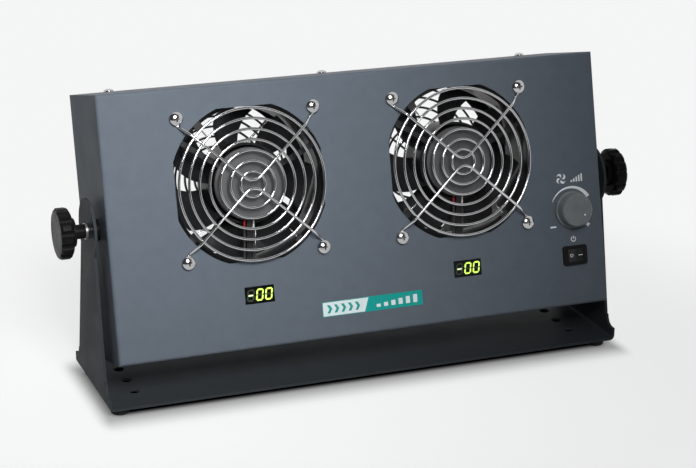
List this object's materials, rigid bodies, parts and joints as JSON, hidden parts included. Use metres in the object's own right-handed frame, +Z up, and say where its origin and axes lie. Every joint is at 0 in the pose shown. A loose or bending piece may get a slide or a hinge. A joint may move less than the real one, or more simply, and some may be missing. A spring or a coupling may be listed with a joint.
{
  "type": "ionizing blower",
  "caption": "Benchtop ionizing air blower: leaned-back sheet-metal case with guarded fans, tilt bracket with lobed side knobs, speed knob, rocker switch and displays.",
  "frame": {"origin": "on the bench plane under the feet, midway between the two bracket arms and midway along the base plate from front to back", "axes": "+X along the tilt axis towards the end with the controls, +Y from the front of the blower to its rear, +Z up"},
  "size_m": [0.4576, 0.1272, 0.2309],
  "materials": {
    "bracket_paint": "satin dark grey powder coat",
    "shell_paint": "satin slate grey powder coat",
    "cover_paint": "satin dark grey powder coat",
    "foot_rubber": "matte",
    "screw_steel": "bright zinc",
    "zinc_steel": "zinc plated",
    "knob_plastic": "satin black",
    "guard_chrome": "bright plated wire",
    "fan_plastic": "satin black",
    "motor_label": "silver-grey film",
    "stator_steel": "laminations and windings",
    "lead_red": "insulation",
    "lead_pale": "insulation",
    "sleeve_black": "woven sleeve",
    "holder_plastic": "satin",
    "display_window": "smoked window",
    "circuit_board": "solder resist",
    "label_film": "printed film",
    "speed_plastic": "satin grey",
    "black_plastic": "satin black",
    "rocker_plastic": "satin black",
    "brass": "plain"
  },
  "bodies": {
    "bracket": {"bracket": "bracket_paint", "rubber_feet": "foot_rubber"},
    "case": {"front_shell": "shell_paint", "rear_cover": "cover_paint", "top_cover_screws": "screw_steel", "bottom_cover_screws": "screw_steel", "cover_nuts": "zinc_steel", "pivot_nuts": "zinc_steel", "pivot_spacers": "knob_plastic", "front_guard_left": "guard_chrome", "front_guard_right": "guard_chrome", "rear_guard_left": "guard_chrome", "rear_guard_right": "guard_chrome", "front_guard_screws": "screw_steel", "rear_guard_screws": "screw_steel", "fan_nuts": "zinc_steel", "rear_guard_nuts": "zinc_steel", "fan_frame_left": "fan_plastic", "fan_frame_right": "fan_plastic", "motor_label_left": "motor_label", "motor_label_right": "motor_label", "fan_stator_left": "stator_steel", "fan_stator_right": "stator_steel", "shaft_bearings_left": "zinc_steel", "shaft_bearings_right": "zinc_steel", "red_leads": "lead_red", "pale_leads": "lead_pale", "lead_sleeves": "sleeve_black", "emitter_holders": "holder_plastic", "emitter_needles": "zinc_steel", "emitter_bus": "sleeve_black", "display_left": "display_window", "display_right": "display_window", "display_boards": "circuit_board", "display_posts": "zinc_steel", "label_plate": "label_film", "speed_control": "black_plastic", "speed_nut": "zinc_steel", "switch_housing": "black_plastic", "switch_terminals": "brass", "control_board": "circuit_board", "board_standoffs": "zinc_steel", "high_voltage_supply": "black_plastic", "power_inlet": "black_plastic", "inlet_pins": "brass", "inlet_screws": "screw_steel", "ground_post": "brass"},
    "tilt_knob_left": {"tilt_knob_left": "knob_plastic", "tilt_stud_left": "zinc_steel", "tilt_washer_left": "zinc_steel"},
    "tilt_knob_right": {"tilt_knob_right": "knob_plastic", "tilt_stud_right": "zinc_steel", "tilt_washer_right": "zinc_steel"},
    "rotor_left": {"fan_rotor_left": "fan_plastic", "rotor_shaft_left": "zinc_steel"},
    "rotor_right": {"fan_rotor_right": "fan_plastic", "rotor_shaft_right": "zinc_steel"},
    "speed_knob": {"speed_knob": "speed_plastic", "speed_shaft": "zinc_steel"},
    "switch_rocker": {"switch_rocker": "rocker_plastic"}
  },
  "joints": [
    {"name": "case_tilt", "type": "hinge", "parent": "bracket", "child": "case", "pos_m": [0, 0, 0.12928], "axis": [1, 0, 0], "range_deg": [-76.1, 103.9]},
    {"name": "tilt_knob_left_turn", "type": "hinge", "parent": "case", "child": "tilt_knob_left", "pos_m": [-0.20625, 0, 0.12928], "axis": [-1, 0, 0], "range_deg": [0, 720]},
    {"name": "tilt_knob_right_turn", "type": "hinge", "parent": "case", "child": "tilt_knob_right", "pos_m": [0.20625, 0, 0.12928], "axis": [1, 0, 0], "range_deg": [0, 720]},
    {"name": "fan_spin_left", "type": "hinge", "parent": "case", "child": "rotor_left", "pos_m": [-0.08825, -0.00302, 0.15454], "axis": [0, 0.9707, -0.2402], "continuous": true},
    {"name": "fan_spin_right", "type": "hinge", "parent": "case", "child": "rotor_right", "pos_m": [0.07975, -0.00302, 0.15454], "axis": [0, 0.9707, -0.2402], "continuous": true},
    {"name": "speed_turn", "type": "hinge", "parent": "case", "child": "speed_knob", "pos_m": [0.1713, -0.03853, 0.11512], "axis": [0, 0.9707, -0.2402], "range_deg": [-270, 0]},
    {"name": "switch_rock", "type": "hinge", "parent": "case", "child": "switch_rocker", "pos_m": [0.1713, -0.04254, 0.07933], "axis": [0, 0.2402, 0.9707], "range_deg": [0, 20]}
  ]
}
